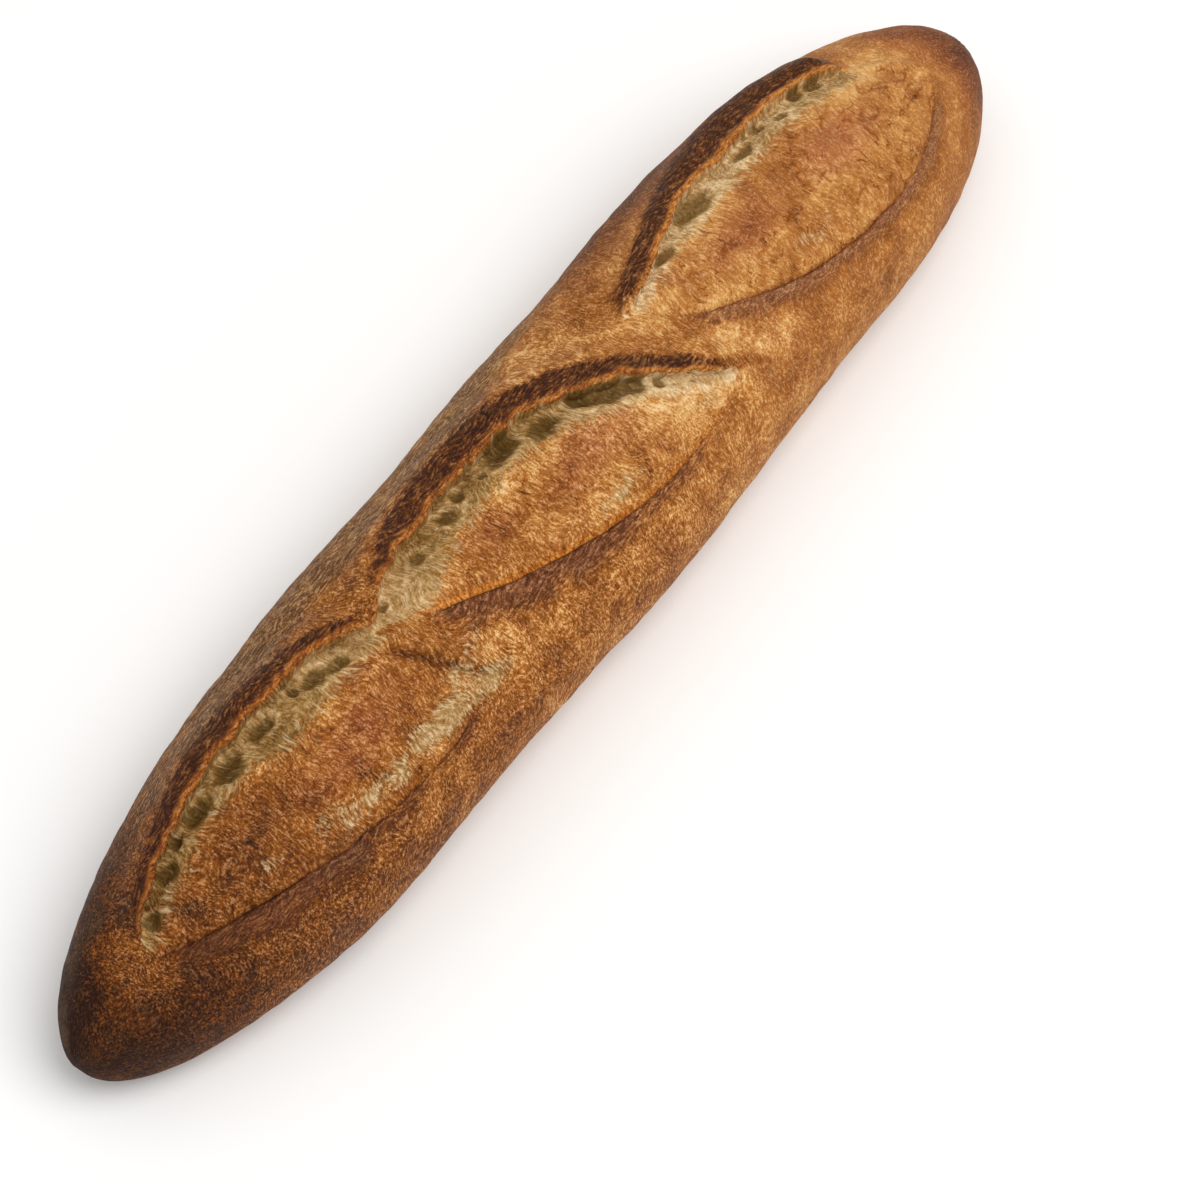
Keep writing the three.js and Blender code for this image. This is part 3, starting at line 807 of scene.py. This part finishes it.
# Down the +Y flank the flour has baked on in a thin grey brown film, with coarser dashes.
floured = ramp(sum_of((dash_wall, -0.12), (dash_along, -0.25), (fine, -0.16), (medium, -0.12), 0.5),
               (0.1, "#241407"), (0.5, "#644524"), (0.9, "#b6946c"))
wall_share = between(sum_of((amount("wall"), 1.0), (mottle, 0.2), (clouds, 0.2)), 0.0, 1.15)
colour = over(colour, floured, times(wall_share, 0.75))

# The torn lip and the hem of the petal are thin crust, orange brown and glossier.
lip_colour = ramp(sum_of((dash_along, -0.24), (fine, -0.14), (medium, -0.14), (amount("grit"), -0.25),
                         0.75),
                  (0.1, "#3f1804"), (0.5, "#96501a"), (0.9, "#da9444"))
lip_share = between(sum_of((amount("lip"), 1.0), (fine, 0.12), (dash_along, 0.2), (medium, 0.3),
                           (mottle, 0.2)),
                    0.35, 1.0)
colour = over(colour, lip_colour, times(lip_share, 0.85))
hem_colour = ramp(sum_of((dash_across, -0.26), (fine, -0.18), (medium, -0.16), 0.5),
                  (0.1, "#662a05"), (0.5, "#bb6a1e"), (0.9, "#e0a250"))
hem_share = between(sum_of((amount("hem"), 1.0), (fine, 0.16), (medium, 0.3), (mottle, 0.2)), 0.22, 0.85)
colour = over(colour, hem_colour, times(hem_share, 0.8))

# Open crumb is creamy and a little green beside the crust, with shade painted into its pockets and pores,
# and its torn strands reach over the pockets and up the petal.
strand_grain = grains(skin_drawn, (0.8, 7, 1), 17)
strands = between(strand_grain, 0.05, 0.9)
in_crumb = between(amount("crumb"), 0.0, 0.25)
# The thin walls round the pockets are painted lighter, a painted highlight on their rims.
crumb_tone = sum_of((dash_across, -0.15), (fine, -0.08), (medium, 0.14), (mottle, 0.1),
                    (amount("cream"), 0.5), (amount("cell_wall"), 0.2), 0.39)
crumb_colour = ramp(crumb_tone, (0.1, "#5b3a0f"), (0.38, "#88632f"), (0.65, "#b58e59"), (1.0, "#f0d4a4"))
crumb_share = between(sum_of((amount("crumb"), 1.0), (strand_grain, 0.4), (fine, 0.1), (medium, 0.2)),
                      0.25, 0.8)
crumb_share = times(crumb_share, in_crumb)
colour = over(colour, crumb_colour, crumb_share)
# The colour of the pockets and pores is painted shade, darker where they are deeper.
in_pocket = between(sum_of((amount("pocket"), 1.0), (medium, 0.12), (strand_grain, -0.18)), 0.0, 0.55)
pocket_shade_colour = ramp(sum_of((dash_across, -0.1), (fine, -0.06), (amount("cream"), 0.45), (strands, 0.15),
                     (amount("pocket"), -0.16), 0.56),
              (0.1, "#301d07"), (0.5, "#61461b"), (0.9, "#8f6d3a"))
colour = over(colour, pocket_shade_colour, times(in_pocket, 0.9))
loose = times(times(strands, crumb_share), sum_of((in_pocket, -0.7), 1.0))
colour = over(colour, linear("#e6d0a8"), times(loose, 0.45))

# Loose flour lies in the hollows of the fine relief.
flour_colour = ramp(sum_of((dash_across, -0.24), (fine, -0.1), (medium, 0.1), 0.5),
                    (0.1, "#8d6935"), (0.5, "#b08c58"), (0.9, "#e0cba2"))
flour_share = between(sum_of((amount("flour"), 1.0), (medium, 0.3), (mottle, 0.3), (dash_across, -0.2)),
                      0.3, 1.1)
flour_share = times(flour_share, between(amount("flour"), 0.0, 0.3))
colour = over(colour, flour_colour, times(flour_share, 0.8))

# Burnt skin and the lips shine a little, the crumb not at all. The bumps are a fifth of a millimetre high.
roughness = sum_of((amount("char"), -0.12), (amount("lip"), -0.08), (amount("crumb"), 0.15), (fine, 0.05),
                   0.62)
height = sum_of((dashes, -0.4), (fine, -0.2), (medium, 0.5))
bump = put("ShaderNodeBump", {"Height": height, "Strength": 0.8, "Distance": 0.0002})
surface = put("ShaderNodeBsdfPrincipled", {
    "Base Color": colour, "Roughness": roughness, "Normal": bump.outputs[0], "IOR": 1.45,
    "Specular IOR Level": 0.12,
})
put("ShaderNodeOutputMaterial", {"Surface": surface.outputs[0]})

mesh.materials.clear()
mesh.materials.append(crust)
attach(loaf, "root")
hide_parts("loaf")


# The studio
# A pale matt table, large enough to have no edge in the picture, under an even white sky of light with one
# large soft lamp. The camera looks down on the loaf along its length from the front.
VIEW_HEIGHT = 60  # degrees above the table
VIEW_TURN = 54.1  # degrees from +X to the picture's depth, measured on the table
VIEW_DISTANCE = 1400
PIXELS_PER_MM = 4
PICTURE = 1200
LOAF_PIXEL = (540.0, 511.1)  # where the middle of the loaf lies in the picture
SENSOR = 36
TABLE_WIDTH = 12  # metres
SKY_STRENGTH = 0.78
LAMP_WATTS = 11
LAMP_WIDTH = 1.1  # metres

turned = math.radians(VIEW_TURN)
tilted = math.radians(VIEW_HEIGHT)
right = Vector((math.cos(turned), -math.sin(turned), 0))
ahead = Vector((math.sin(turned), math.cos(turned), 0))
sight = ahead * math.cos(tilted) - Vector((0, 0, math.sin(tilted)))
upward = ahead * math.sin(tilted) + Vector((0, 0, math.cos(tilted)))
target = (Vector((0, 0, HEIGHT / 2)) + right * (PICTURE / 2 - LOAF_PIXEL[0]) / PIXELS_PER_MM
          - upward * (PICTURE / 2 - LOAF_PIXEL[1]) / PIXELS_PER_MM)

bpy.ops.object.camera_add(location=(target - sight * VIEW_DISTANCE) * MM)
camera = bpy.context.object
camera.rotation_euler = Matrix((right, upward, -sight)).transposed().to_euler()
camera.data.sensor_width = SENSOR
camera.data.lens = SENSOR * PIXELS_PER_MM * VIEW_DISTANCE / PICTURE
bpy.context.scene.camera = camera

bpy.ops.mesh.primitive_plane_add(size=TABLE_WIDTH)
table = bpy.context.object
table.name = "pale_table"
board = bpy.data.materials.new("white_board")
board.use_nodes = True
board_shader = board.node_tree.nodes["Principled BSDF"]
board_shader.inputs["Base Color"].default_value = linear("#f3f2f0")
board_shader.inputs["Roughness"].default_value = 0.9
table.data.materials.append(board)

world = bpy.data.worlds.new("even_light")
world.use_nodes = True
sky = world.node_tree.nodes["Background"]
sky.inputs["Color"].default_value = (1, 1, 1, 1)
sky.inputs["Strength"].default_value = SKY_STRENGTH
bpy.context.scene.world = world

# The lamp hangs above the loaf, to its right and a little towards the camera.
lamp_place = right * 500 - ahead * 250 + Vector((0, 0, 1300))
bpy.ops.object.light_add(type="AREA", location=lamp_place * MM)
lamp = bpy.context.object
lamp.data.shape = "DISK"
lamp.data.size = LAMP_WIDTH
lamp.data.energy = LAMP_WATTS
lamp.rotation_euler = (-lamp_place).to_track_quat("-Z", "Y").to_euler()
bpy.context.scene.view_settings.view_transform = "Standard"
